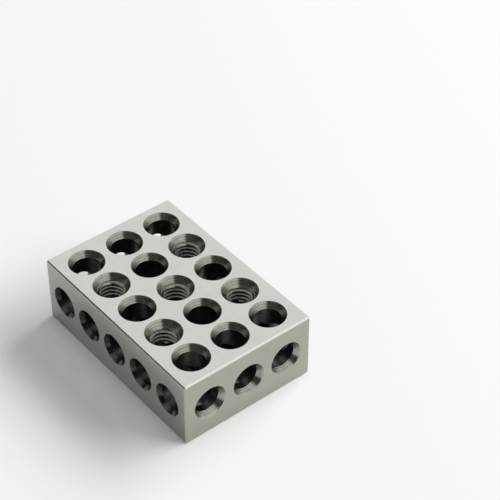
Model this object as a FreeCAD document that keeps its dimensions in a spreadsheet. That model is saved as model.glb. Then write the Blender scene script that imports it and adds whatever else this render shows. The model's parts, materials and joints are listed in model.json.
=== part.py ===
import FreeCAD, Part
import os
import Sketcher

# A machinist's setup block: one bar of tool steel, 3 x 2 x 1 in, hardened and ground square.
# Holes run right through it in all three directions and cross on its middle plane: fifteen
# through the thickness, five of them tapped, five through the width and three end to end.
# Both mouths of every hole are countersunk, and all outside edges have a small 45 degree break.
# Frame: +X along the length, +Y across the width, +Z up, origin at the centre of the base.

# Name, value and meaning of each size. Lengths are in millimetres, the angle in degrees.
SIZES = (
    ("length", 76.2, "end to end"),
    ("width", 50.8, "over the two long sides"),
    ("thickness", 25.4, "over the two large faces"),
    ("edge_break", 0.5, "45 degree chamfer on the outside edges"),
    ("column_pitch", 14.2875, "hole to hole along the length"),
    ("row_pitch", 15.5, "hole to hole across the width"),
    ("plain_bore", 9.525, "diameter of the eighteen plain holes"),
    ("tap_drill", 7.94, "diameter over the thread crests of the five tapped holes"),
    ("sink_angle", 68.0, "included angle of the countersinks"),
    ("face_sink", 1.5, "radial width of the countersinks in the large faces"),
    ("side_sink", 1.0, "radial width of the countersinks in the long sides"),
    ("end_sink", 1.4, "radial width of the countersinks in the ends"),
)

# Hole places, counted in pitches from the middle of the face that they are drilled in.
COLUMNS = range(-2, 3)
ROWS = range(-1, 2)
GRID = [(column, row) for column in COLUMNS for row in ROWS]
TAPPED = [(-1, -1), (-1, 1), (0, 0), (1, -1), (1, 1)]
PLAIN = [place for place in GRID if place not in TAPPED]
SIDE_ROW = [(column, 0) for column in COLUMNS]
END_ROW = [(row, 0) for row in ROWS]


def size_sheet(doc):
    """The driving sizes, one row each: name, value, meaning."""
    sheet = doc.addObject("Spreadsheet::Sheet", "sizes")
    for row, (name, value, meaning) in enumerate(SIZES, start=1):
        sheet.set(f"A{row}", name)
        sheet.set(f"B{row}", str(value))
        sheet.set(f"C{row}", meaning)
        sheet.setAlias(f"B{row}", name)
    doc.recompute()


def middle_plane(body, role):
    """One of the body's three origin planes, which are the block's planes of symmetry."""
    return next(item for item in body.Origin.OriginFeatures if item.Role == role)


def sketch_on(body, name, plane_role):
    """An empty sketch on one of the body's middle planes."""
    sketch = body.newObject("Sketcher::SketchObject", name)
    sketch.AttachmentSupport = [(middle_plane(body, plane_role), "")]
    sketch.MapMode = "FlatFace"
    return sketch


def dimension(sketch, name, expression, *constraint):
    """Add a dimension to the sketch and tie it to the sheet."""
    value = sketch.evalExpression(expression)
    index = sketch.addConstraint(Sketcher.Constraint(*constraint, value))
    sketch.renameConstraint(index, name)
    sketch.setExpression(f"Constraints.{name}", expression)


def ground_blank(doc, body):
    """The ground bar before it is drilled, centred in the body, with its edges broken."""
    sketch = sketch_on(body, "blank_outline", "XY_Plane")
    half_length = sketch.evalExpression("sizes.length / 2")
    half_width = sketch.evalExpression("sizes.width / 2")
    signs = ((-1, -1), (1, -1), (1, 1), (-1, 1))
    corners = [FreeCAD.Vector(x * half_length, y * half_width, 0) for x, y in signs]
    for start, end in zip(corners, corners[1:] + corners[:1]):
        sketch.addGeometry(Part.LineSegment(start, end))
    for side, direction in enumerate(("Horizontal", "Vertical", "Horizontal", "Vertical")):
        sketch.addConstraint(Sketcher.Constraint(direction, side))
        sketch.addConstraint(Sketcher.Constraint("Coincident", side, 2, (side + 1) % 4, 1))
    sketch.addConstraint(Sketcher.Constraint("Symmetric", 0, 1, 2, 1, -1, 1))
    dimension(sketch, "outline_x", "sizes.length", "DistanceX", 0, 1, 0, 2)
    dimension(sketch, "outline_y", "sizes.width", "DistanceY", 1, 1, 1, 2)

    blank = body.newObject("PartDesign::Pad", "blank")
    blank.Profile = sketch
    blank.Midplane = True
    blank.setExpression("Length", "sizes.thickness")
    doc.recompute()

    breaks = body.newObject("PartDesign::Chamfer", "edge_breaks")
    breaks.Base = (blank, [f"Edge{number + 1}" for number in range(len(blank.Shape.Edges))])
    breaks.setExpression("Size", "sizes.edge_break")
    doc.recompute()


def hole_places(doc, body, name, plane_role, depth, pitches, bore, places):
    """Circles for a set of holes, on the face that stands half the depth out from its plane."""
    sketch = sketch_on(body, f"{name}_places", plane_role)
    sketch.setExpression("AttachmentOffset.Base.z", f"{depth} / 2")
    across, up = (sketch.evalExpression(pitch) for pitch in pitches)
    for number, place in enumerate(places):
        centre = FreeCAD.Vector(place[0] * across, place[1] * up, 0)
        radius = sketch.evalExpression(bore) / 2
        sketch.addGeometry(Part.Circle(centre, FreeCAD.Vector(0, 0, 1), radius))
        if number == 0:
            dimension(sketch, "bore", bore, "Diameter", number)
        else:
            sketch.addConstraint(Sketcher.Constraint("Equal", 0, number))
        for letter, line, pitch, steps in zip("XY", (-2, -1), pitches, place):
            if steps == 0:
                sketch.addConstraint(Sketcher.Constraint("PointOnObject", number, 3, line))
                continue
            span = (-1, 1, number, 3) if steps > 0 else (number, 3, -1, 1)
            dimension(sketch, f"place_{letter}_{number}", f"{pitch} * {abs(steps)}",
                      f"Distance{letter}", *span)
    doc.recompute()
    return sketch


def drill_through(doc, body, name, plane_role, depth, pitches, bore, mouth, places):
    """Holes right through from one face, countersunk there and again on the opposite face."""
    undrilled = body.Shape.Volume
    holes = body.newObject("PartDesign::Hole", name)
    holes.Profile = hole_places(doc, body, name, plane_role, depth, pitches, bore, places)
    doc.recompute()
    holes.DepthType = "ThroughAll"
    holes.HoleCutType = "Countersink"
    holes.HoleCutCustomValues = True
    holes.setExpression("Diameter", bore)
    holes.setExpression("HoleCutDiameter", mouth)
    holes.setExpression("HoleCutCountersinkAngle", "sizes.sink_angle")
    doc.recompute()

    opposite = body.newObject("PartDesign::Mirrored", f"{name}_opposite")
    opposite.Originals = [holes]
    opposite.MirrorPlane = (middle_plane(body, plane_role), [""])
    body.Tip = opposite
    doc.recompute()
    if not undrilled > holes.Shape.Volume > opposite.Shape.Volume:
        raise RuntimeError(f"{name}: the drill or the countersink missed the block")


def setup_block(doc):
    """The whole block, standing on its base."""
    body = doc.addObject("PartDesign::Body", "setup_block")
    body.Label = "setup_block"
    body.setExpression("Placement.Base.z", "sizes.thickness / 2")
    ground_blank(doc, body)

    face_mouth = "sizes.plain_bore + 2 * sizes.face_sink"
    side_mouth = "sizes.plain_bore + 2 * sizes.side_sink"
    end_mouth = "sizes.plain_bore + 2 * sizes.end_sink"
    grid_pitches = ("sizes.column_pitch", "sizes.row_pitch")
    drill_through(doc, body, "tapped_holes", "XY_Plane", "sizes.thickness", grid_pitches,
                  "sizes.tap_drill", face_mouth, TAPPED)
    drill_through(doc, body, "face_holes", "XY_Plane", "sizes.thickness", grid_pitches,
                  "sizes.plain_bore", face_mouth, PLAIN)
    drill_through(doc, body, "side_holes", "XZ_Plane", "sizes.width", grid_pitches,
                  "sizes.plain_bore", side_mouth, SIDE_ROW)
    drill_through(doc, body, "end_holes", "YZ_Plane", "sizes.length", ("sizes.row_pitch",) * 2,
                  "sizes.plain_bore", end_mouth, END_ROW)
    return body


def check(doc, bodies):
    """Stop before anything is written if an object failed or a solid isn't sound."""
    for item in doc.Objects:
        if "Invalid" in item.State or "Error" in item.State:
            raise RuntimeError(f"{item.Name} failed: {item.State}")
    for body in bodies:
        if body.Shape.isNull() or not body.Shape.isValid() or len(body.Shape.Solids) != 1:
            raise RuntimeError(f"{body.Label} isn't one sound solid")


doc = FreeCAD.newDocument("setup_block")
size_sheet(doc)
bodies = [setup_block(doc)]
doc.recompute()
check(doc, bodies)
os.makedirs("parts", exist_ok=True)
for body in bodies:
    body.Shape.exportStep(f"parts/{body.Label}.step")
    print(body.Label, f"{body.Shape.Volume:.1f} mm3", body.Shape.BoundBox)
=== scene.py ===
import json
import math

import bmesh
import bpy
from mathutils import Matrix, Vector


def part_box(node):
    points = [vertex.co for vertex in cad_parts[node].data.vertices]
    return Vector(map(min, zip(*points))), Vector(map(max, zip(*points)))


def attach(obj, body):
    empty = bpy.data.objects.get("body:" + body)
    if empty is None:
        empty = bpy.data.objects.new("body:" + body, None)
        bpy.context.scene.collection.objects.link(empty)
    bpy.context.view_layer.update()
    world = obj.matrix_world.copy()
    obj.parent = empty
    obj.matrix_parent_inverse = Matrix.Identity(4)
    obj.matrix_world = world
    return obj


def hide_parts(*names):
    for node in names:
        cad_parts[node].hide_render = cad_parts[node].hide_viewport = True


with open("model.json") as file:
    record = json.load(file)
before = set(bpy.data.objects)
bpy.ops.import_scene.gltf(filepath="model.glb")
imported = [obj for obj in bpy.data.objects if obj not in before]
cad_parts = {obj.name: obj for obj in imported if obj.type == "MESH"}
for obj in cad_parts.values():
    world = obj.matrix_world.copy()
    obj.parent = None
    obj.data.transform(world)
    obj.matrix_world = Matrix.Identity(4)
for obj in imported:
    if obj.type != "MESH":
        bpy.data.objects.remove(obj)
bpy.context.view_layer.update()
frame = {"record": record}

# ---------------------------------------------------------------------------------------------
# The block's blank: a bar of tool steel, 3 x 2 x 1 in, surface ground on all six sides after
# hardening. Its edges are broken with a stone to a 45 degree chamfer, whose own two edges are
# left very slightly round.
low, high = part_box("setup_block")
length, width, thickness = high - low
mid_height = thickness / 2
edge_break = 0.0005
stoned_round = 0.00007


def mesh_object(name, bm, *materials):
    """A new object at the origin that holds the finished bmesh."""
    mesh = bpy.data.meshes.new(name)
    for material in materials:
        mesh.materials.append(material)
    bm.to_mesh(mesh)
    bm.free()
    piece = bpy.data.objects.new(name, mesh)
    bpy.context.collection.objects.link(piece)
    return piece


def chamfer(bm, edges, size, segments):
    """Bevel some edges of a mesh."""
    bmesh.ops.bevel(bm, geom=edges, offset=size, offset_type="OFFSET", affect="EDGES",
                    segments=segments, profile=0.5, material=-1)


blank = bmesh.new()
bmesh.ops.create_cube(blank, size=1.0)
bmesh.ops.scale(blank, vec=(length, width, thickness), verts=blank.verts)
bmesh.ops.translate(blank, vec=(0, 0, mid_height), verts=blank.verts)
chamfer(blank, blank.edges[:], edge_break, 1)
chamfer(blank, blank.edges[:], stoned_round, 2)


class Wire:
    """One output of a material's nodes. Arithmetic on it adds Math nodes."""

    def __init__(self, tree, socket=None):
        self.tree = tree
        self.socket = socket

    def node(self, kind, settings, sockets, output=0):
        """A node of any kind: its settings are made first, then each socket's value or link."""
        made = self.tree.nodes.new(kind)
        for name, value in settings.items():
            if name == "stops":
                ramp = made.color_ramp
                while len(ramp.elements) < len(value):
                    ramp.elements.new(1.0)
                for element, (place, colour) in zip(ramp.elements, value):
                    element.position = place
                    element.color = (*colour, 1.0)
            else:
                setattr(made, name, value)
        for name, value in sockets.items():
            if isinstance(value, Wire):
                self.tree.links.new(value.socket, made.inputs[name])
            else:
                made.inputs[name].default_value = value
        return Wire(self.tree, made.outputs[output] if made.outputs else None)

    def maths(self, operation, *values):
        return self.node("ShaderNodeMath", {"operation": operation}, dict(enumerate(values)))

    def __add__(self, other):
        return self.maths("ADD", self, other)

    def __sub__(self, other):
        return self.maths("SUBTRACT", self, other)

    def __rsub__(self, other):
        return self.maths("SUBTRACT", other, self)

    def __mul__(self, other):
        return self.maths("MULTIPLY", self, other)

    __radd__ = __add__
    __rmul__ = __mul__

    def ramp(self, *stops):
        """A colour that runs through the stops as this value rises."""
        return self.node("ShaderNodeValToRGB", {"stops": stops}, {"Fac": self})

    def scaled(self, *factors):
        """This vector times a factor along each axis."""
        settings = {"operation": "MULTIPLY"}
        return self.node("ShaderNodeVectorMath", settings, {0: self, 1: factors})

    def noise(self, scale, detail=2.0, roughness=0.5):
        """Soft random blotches over this vector, so many to the metre."""
        sockets = {"Vector": self, "Scale": scale, "Detail": detail, "Roughness": roughness}
        return self.node("ShaderNodeTexNoise", {}, sockets)


def new_material(name):
    """An empty node material and the object coordinates that its pattern is laid out in."""
    material = bpy.data.materials.new(name)
    material.use_nodes = True
    material.node_tree.nodes.clear()
    place = Wire(material.node_tree).node("ShaderNodeTexCoord", {}, {}, output="Object")
    return material, place


def finish_metal(material, colour, roughness, height, depth):
    """The metal surface itself, with its relief given by height and its depth in metres."""
    wire = Wire(material.node_tree)
    relief = {"Strength": 1.0, "Distance": depth, "Height": height}
    normal = wire.node("ShaderNodeBump", {}, relief)
    surface = {"Base Color": colour, "Roughness": roughness, "Metallic": 1.0, "Normal": normal}
    shader = wire.node("ShaderNodeBsdfPrincipled", {}, surface)
    wire.node("ShaderNodeOutputMaterial", {}, {"Surface": shader})


def grey(level, warmth):
    """A grey that turns warm as its blue is held back."""
    return (level, level, level * (1 - warmth))


def ground_steel(name, along, level, warmth):
    """Satin surface-ground steel, whose fine grinding lines run along one axis."""
    material, place = new_material(name)
    fine = [900.0 if axis == along else 9000.0 for axis in range(3)]
    broad = [60.0 if axis == along else 900.0 for axis in range(3)]
    lines = place.scaled(*fine).noise(1.0, 3.0)
    bands = place.scaled(*broad).noise(1.0, 2.0)
    clouds = place.noise(160.0, 3.0, 0.55)
    tone = lines * 0.30 + bands * 0.25 + clouds * 0.45
    colour = tone.ramp((0.30, grey(level * 0.93, warmth)), (0.70, grey(level * 1.07, warmth)))
    roughness = lines * 0.10 + clouds * 0.10 + 0.28
    finish_metal(material, colour, roughness, lines + bands * 0.5, 0.000002)
    return material


def chamfer_steel():
    """The stoned edge breaks: the same steel, a little smoother, with short cross scratches."""
    material, place = new_material("stoned_edge_steel")
    nicks = place.noise(2500.0, 3.0, 0.6)
    colour = nicks.ramp((0.3, grey(0.72, 0.08)), (0.7, grey(0.82, 0.08)))
    finish_metal(material, colour, nicks * 0.15 + 0.22, nicks, 0.000003)
    return material


faces_steel = ground_steel("ground_face_steel", 0, 0.625, 0.05)
# Painted shade: the long sides and the ends get darker, warmer copies of the large faces' steel,
# standing in for the shade that they mirror.
side_steel_painted_shade = ground_steel("ground_side_steel_painted_shade", 0, 0.41, 0.09)
end_steel_painted_shade = ground_steel("ground_end_steel_painted_shade", 1, 0.415, 0.15)
edge_steel = chamfer_steel()
block = mesh_object("ground_block", blank, faces_steel, side_steel_painted_shade, end_steel_painted_shade, edge_steel)
face_slot, side_slot, end_slot, edge_slot = range(4)
for polygon in block.data.polygons:
    lengthwise, crosswise, upward = (abs(part) for part in polygon.normal)
    if max(lengthwise, crosswise, upward) < 0.999 and upward > 0.1:
        polygon.material_index = edge_slot
    elif upward < 0.5:
        polygon.material_index = side_slot if crosswise > lengthwise else end_slot
    else:
        polygon.material_index = face_slot

# ---------------------------------------------------------------------------------------------
# The drilled holes: eighteen plain ones, through all three pairs of sides, crossing on the
# middle plane. They are drilled and countersunk before hardening, so their walls keep turned
# rings and a dull, darker skin, while the faces round them are ground bright.
mounts = {mount["name"]: mount for mount in frame["record"]["mounts"]}
corner_holes = mounts["face_corner_holes"]["dims"]
column_pitch = corner_holes["spacing_x_mm"] / 4 / 1000
row_pitch = corner_holes["spacing_y_mm"] / 2 / 1000
bore_radius = corner_holes["hole_r_mm"] / 1000
sink_angle = math.radians(68.0)
sink_slope = math.tan(sink_angle / 2)
face_sink, side_sink, end_sink = 0.0015, 0.0010, 0.0014
face_mouth = bore_radius + face_sink
side_mouth = bore_radius + side_sink
end_mouth = bore_radius + end_sink
rim_round = 0.00006
run_out = 0.002
round_steps = 112
merge_reach = 1e-7


def drill_profile(radius, mouth, depth):
    """The half outline of a double-countersunk drill, from past one face to past the other."""
    half = depth / 2
    sink = (mouth - radius) / sink_slope
    outside = [(0.0, half + run_out), (mouth + rim_round + run_out, half + run_out),
               (mouth + rim_round, half), (mouth - rim_round * sink_slope, half - rim_round),
               (radius, half - sink)]
    return outside + [(across, -along) for across, along in reversed(outside)]


def drill(bm, radius, mouth, depth, turn, middle):
    """Add one drill shape to a mesh, turned and set in place: material 0 bores, 1 countersinks."""
    profile = drill_profile(radius, mouth, depth)
    corners = [bm.verts.new((across, 0.0, along)) for across, along in profile]
    walls = [bm.edges.new(pair) for pair in zip(corners, corners[1:])]
    bmesh.ops.spin(bm, geom=corners + walls, axis=(0, 0, 1), cent=(0, 0, 0),
                   angle=2 * math.pi, steps=round_steps, use_merge=True)
    new_faces = [face for face in bm.faces if not face.tag]
    sink_start = depth / 2 - (mouth - radius) / sink_slope
    for face in new_faces:
        in_bore = abs(face.calc_center_median().z) < sink_start
        face.material_index = 0 if in_bore else 1
        face.tag = True
    verts = list({vert for face in new_faces for vert in face.verts})
    bmesh.ops.remove_doubles(bm, verts=verts, dist=merge_reach)
    verts = list({vert for face in new_faces if face.is_valid for vert in face.verts})
    bmesh.ops.transform(bm, matrix=Matrix.Translation(middle) @ turn, verts=verts)


upright = Matrix.Identity(4)
across_block = Matrix.Rotation(math.pi / 2, 4, "X")
along_block = Matrix.Rotation(math.pi / 2, 4, "Y")
tapped_places = [(-1, -1), (-1, 1), (0, 0), (1, -1), (1, 1)]
grid = [(column, row) for column in range(-2, 3) for row in range(-1, 2)]


def bored_steel(name, along):
    """A drilled wall: dull dark grey, with the drill's fine rings round it."""
    material, place = new_material(name)
    stretch = [7000.0 if axis == along else 250.0 for axis in range(3)]
    rings = place.scaled(*stretch).noise(1.0, 2.0)
    blotches = place.noise(420.0, 3.0, 0.6)
    tone = rings * 0.5 + blotches * 0.5
    colour = tone.ramp((0.3, grey(0.06, 0.08)), (0.7, grey(0.13, 0.08)))
    finish_metal(material, colour, tone * 0.2 + 0.3, rings, 0.000010)
    return material


def sunk_steel(name, dull, bright):
    """A countersink's cone: turned rings that follow its depth below the face."""
    material, place = new_material(name)
    wire = Wire(material.node_tree)
    parts = [place.node("ShaderNodeSeparateXYZ", {}, {0: place}, output=axis) for axis in range(3)]
    below = [length / 2 - parts[0].maths("ABSOLUTE", parts[0]),
             width / 2 - parts[1].maths("ABSOLUTE", parts[1]),
             mid_height - (parts[2] - mid_height).maths("ABSOLUTE", parts[2] - mid_height)]
    depth = wire.maths("MINIMUM", wire.maths("MINIMUM", below[0], below[1]), below[2])
    wobble = place.noise(300.0, 2.0) * 0.0001
    rings = wire.node("ShaderNodeTexNoise", {"noise_dimensions": "1D"},
                      {"W": (depth + wobble) * 3200.0, "Scale": 1.0, "Detail": 3.0})
    blotches = place.noise(500.0, 3.0, 0.6)
    tone = rings * 0.75 + blotches * 0.25
    colour = tone.ramp((0.36, grey(dull, 0.14)), (0.64, grey(bright, 0.14)))
    finish_metal(material, colour, tone * 0.14 + 0.15, rings, 0.000025)
    return material


bore_steels = [bored_steel(f"bored_steel_{axis}", number) for number, axis in enumerate("xyz")]
sink_steel = sunk_steel("countersunk_steel", 0.21, 0.46)
# Painted shade: the countersinks on the long sides get a nearly black copy of the countersink
# steel.
side_sink_steel_painted_shade = sunk_steel("side_countersink_steel_painted_shade", 0.035, 0.09)


def cut(piece, tool):
    """Take a tool's shape out of a piece, and throw the tool away."""
    modifier = piece.modifiers.new("cut", "BOOLEAN")
    modifier.operation = "DIFFERENCE"
    modifier.solver = "MANIFOLD"
    modifier.material_mode = "TRANSFER"
    modifier.object = tool
    depsgraph = bpy.context.evaluated_depsgraph_get()
    shaped = bpy.data.meshes.new_from_object(piece.evaluated_get(depsgraph))
    piece.modifiers.clear()
    old = piece.data
    piece.data = shaped
    bpy.data.meshes.remove(old)
    bpy.data.objects.remove(tool)


face_tool = bmesh.new()
for column, row in grid:
    if (column, row) not in tapped_places:
        drill(face_tool, bore_radius, face_mouth, thickness, upright,
              (column * column_pitch, row * row_pitch, mid_height))
cut(block, mesh_object("face_drills", face_tool, bore_steels[2], sink_steel))
side_tool = bmesh.new()
for column in range(-2, 3):
    drill(side_tool, bore_radius, side_mouth, width, across_block,
          (column * column_pitch, 0, mid_height))
cut(block, mesh_object("side_drills", side_tool, bore_steels[1], side_sink_steel_painted_shade))
end_tool = bmesh.new()
for row in range(-1, 2):
    drill(end_tool, bore_radius, end_mouth, length, along_block,
          (0, row * row_pitch, mid_height))
cut(block, mesh_object("end_drills", end_tool, bore_steels[0], sink_steel))

# ---------------------------------------------------------------------------------------------
# The five tapped holes: 3/8-16 threads cut right through after countersinking, one in the
# middle of the large face and four in a square round it. The crossing holes break into them.
crest_radius = mounts["tapped_corner_holes"]["dims"]["hole_r_mm"] / 1000
root_radius = 0.0049
thread_pitch = 0.0254 / 16
root_flat = thread_pitch / 8
flank = (root_radius - crest_radius) * math.tan(math.radians(30))
crest_flat = thread_pitch - root_flat - 2 * flank
thread_steps = 80
under_crest = 0.0003
first_lead, opposite_lead = math.radians(20), math.radians(200)


def threaded_steel():
    """The thread's flanks and roots: dull dark steel with soft random blotches."""
    material, place = new_material("threaded_steel")
    blotches = place.noise(900.0, 3.0, 0.6)
    colour = blotches.ramp((0.3, grey(0.12, 0.12)), (0.7, grey(0.26, 0.12)))
    finish_metal(material, colour, blotches * 0.15 + 0.24, blotches, 0.000006)
    return material


def tap():
    """A tap's cutting shape: one turn of its thread, repeated along the axis and cut to length."""
    bm = bmesh.new()
    turns = math.ceil((thickness + 2 * run_out) / thread_pitch) + 2
    start = -turns * thread_pitch / 2
    outline = [(crest_radius, 0.0), (crest_radius, crest_flat), (root_radius, crest_flat + flank),
               (root_radius, crest_flat + flank + root_flat), (crest_radius, thread_pitch)]
    corners = [bm.verts.new((across, 0.0, start + along)) for across, along in outline]
    walls = [bm.edges.new(pair) for pair in zip(corners, corners[1:])]
    bmesh.ops.spin(bm, geom=corners + walls, axis=(0, 0, 1), cent=(0, 0, 0),
                   dvec=(0, 0, thread_pitch / thread_steps), angle=2 * math.pi,
                   steps=thread_steps, use_merge=False)
    first_turn = bm.verts[:] + bm.edges[:] + bm.faces[:]
    for number in range(1, turns):
        turn = bmesh.ops.duplicate(bm, geom=first_turn)["geom"]
        verts = [item for item in turn if isinstance(item, bmesh.types.BMVert)]
        bmesh.ops.translate(bm, vec=(0, 0, number * thread_pitch), verts=verts)
    bmesh.ops.remove_doubles(bm, verts=bm.verts, dist=merge_reach)
    for side in (1, -1):
        everything = bm.verts[:] + bm.edges[:] + bm.faces[:]
        end = (0, 0, side * (thickness / 2 + run_out))
        trimmed = bmesh.ops.bisect_plane(bm, geom=everything, dist=1e-9, plane_co=end,
                                         plane_no=(0, 0, side), clear_outer=True)
        rim = [item for item in trimmed["geom_cut"] if isinstance(item, bmesh.types.BMEdge)]
        bmesh.ops.contextual_create(bm, geom=rim)
    bmesh.ops.recalc_face_normals(bm, faces=bm.faces)
    return bm


thread_steel = threaded_steel()
for column, row in tapped_places:
    middle = Vector((column * column_pitch, row * row_pitch, mid_height))
    sink_tool = bmesh.new()
    drill(sink_tool, crest_radius - under_crest, face_mouth, thickness, upright, middle)
    cut(block, mesh_object("tapped_sinks", sink_tool, thread_steel, sink_steel))
    thread_tool = tap()
    lead_in = Matrix.Rotation(opposite_lead if column > 0 else first_lead, 4, "Z")
    bmesh.ops.transform(thread_tool, matrix=Matrix.Translation(middle) @ lead_in,
                        verts=thread_tool.verts)
    cut(block, mesh_object("thread_tap", thread_tool, thread_steel))

# The ground faces stay flat, and only the round walls are shaded smooth.
for polygon in block.data.polygons:
    polygon.use_smooth = max(abs(part) for part in polygon.normal) < 0.99999
block.data.set_sharp_from_angle(angle=math.radians(24))
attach(block, "root")
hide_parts("setup_block")

# ---------------------------------------------------------------------------------------------
# The table and the screen: a plain pale table top, and a dark curved card on the eye's side that
# the steel mirrors. The card is there for reflections only, so it throws no shade on the table.
def finish_paint(material, colour):
    """A dull paint without shine."""
    wire = Wire(material.node_tree)
    paint = wire.node("ShaderNodeBsdfDiffuse", {}, {"Color": colour})
    wire.node("ShaderNodeOutputMaterial", {}, {"Surface": paint})


table_paint = new_material("pale_floor")[0]
finish_paint(table_paint, (0.9, 0.9, 0.9, 1.0))
table_bm = bmesh.new()
bmesh.ops.create_grid(table_bm, x_segments=1, y_segments=1, size=3.0)
mesh_object("floor", table_bm, table_paint)

screen_reach = 0.5
screen_foot, screen_top = 0.002, 0.452
screen_from, screen_to = math.radians(205), math.radians(334)
screen_bm = bmesh.new()
start = Vector((screen_reach * math.cos(screen_from), screen_reach * math.sin(screen_from), 0))
low_end = screen_bm.verts.new(start + Vector((0, 0, screen_foot)))
high_end = screen_bm.verts.new(start + Vector((0, 0, screen_top)))
bmesh.ops.spin(screen_bm, geom=[low_end, high_end, screen_bm.edges.new((low_end, high_end))],
               axis=(0, 0, 1), cent=(0, 0, 0), angle=screen_to - screen_from, steps=24)

# Nearly black at the left end of the card, and dark grey from its middle on.
screen_paint, place = new_material("black_flag")
across = place.node("ShaderNodeSeparateXYZ", {}, {0: place})
card_tone = (across + screen_reach).ramp((0.20, grey(0.02, 0)), (0.60, grey(0.07, 0)))
finish_paint(screen_paint, card_tone)
screen = mesh_object("black_flag", screen_bm, screen_paint)
screen.visible_camera = False
screen.visible_diffuse = False
screen.visible_shadow = False

# ---------------------------------------------------------------------------------------------
# The light: one long softbox behind the block and to its right, a small one overhead that
# reaches down through the holes, and a pale studio all round, which the steel mirrors instead
# of the lamps.
lamp_reach = 3.0
studio_fill = 0.25


def softbox(name, turn, rise, across, high, level):
    """A lamp aimed at the block, at an angle round it and an angle above the table."""
    lamp = bpy.data.lights.new(name, "AREA")
    lamp.shape = "RECTANGLE"
    lamp.size = across
    lamp.size_y = high
    lamp.energy = level * math.pi * across * high
    turn, rise = math.radians(turn), math.radians(rise)
    outward = math.cos(rise)
    way = Vector((outward * math.cos(turn), outward * math.sin(turn), math.sin(rise)))
    stand = bpy.data.objects.new(name, lamp)
    bpy.context.collection.objects.link(stand)
    stand.location = way * lamp_reach
    stand.rotation_mode = "QUATERNION"
    stand.rotation_quaternion = (-way).to_track_quat("-Z", "Y")
    stand.visible_glossy = False


softbox("back_softbox", 70, 38, 4.0, 1.2, 7.5)
softbox("top_softbox", 0, 90, 1.0, 1.0, 5.0)

world = bpy.data.worlds.new("studio")
bpy.context.scene.world = world
world.use_nodes = True
world.node_tree.nodes.clear()
sky = Wire(world.node_tree)
rays = [sky.node("ShaderNodeLightPath", {}, {}, output=name)
        for name in ("Is Camera Ray", "Is Glossy Ray", "Is Transmission Ray")]
background = sky.maths("MAXIMUM", sky.maths("MAXIMUM", rays[0], rays[1]), rays[2])
sky_strength = background * (1 - studio_fill) + studio_fill
white_sky = {"Color": (1, 1, 1, 1), "Strength": sky_strength}
sky_shader = sky.node("ShaderNodeBackground", {}, white_sky)
sky.node("ShaderNodeOutputWorld", {}, {"Surface": sky_shader})

# ---------------------------------------------------------------------------------------------
# The camera, at the eye's place: out in front of the right end and above it, with a long lens.
# The large face, the front side and the right end all show from there.
camera_data = bpy.data.cameras.new("camera")
camera_data.sensor_width = 36.0
camera_data.lens = 117.55
camera = bpy.data.objects.new("camera", camera_data)
bpy.context.collection.objects.link(camera)
camera.location = (0.3199, -0.2279, 0.3876)
camera.rotation_mode = "QUATERNION"
camera.rotation_quaternion = Vector((-0.5827, 0.4721, -0.6615)).to_track_quat("-Z", "Y")
camera_data.clip_start = 0.01
camera_data.clip_end = 20.0
bpy.context.scene.camera = camera
bpy.context.scene.view_settings.view_transform = "Standard"
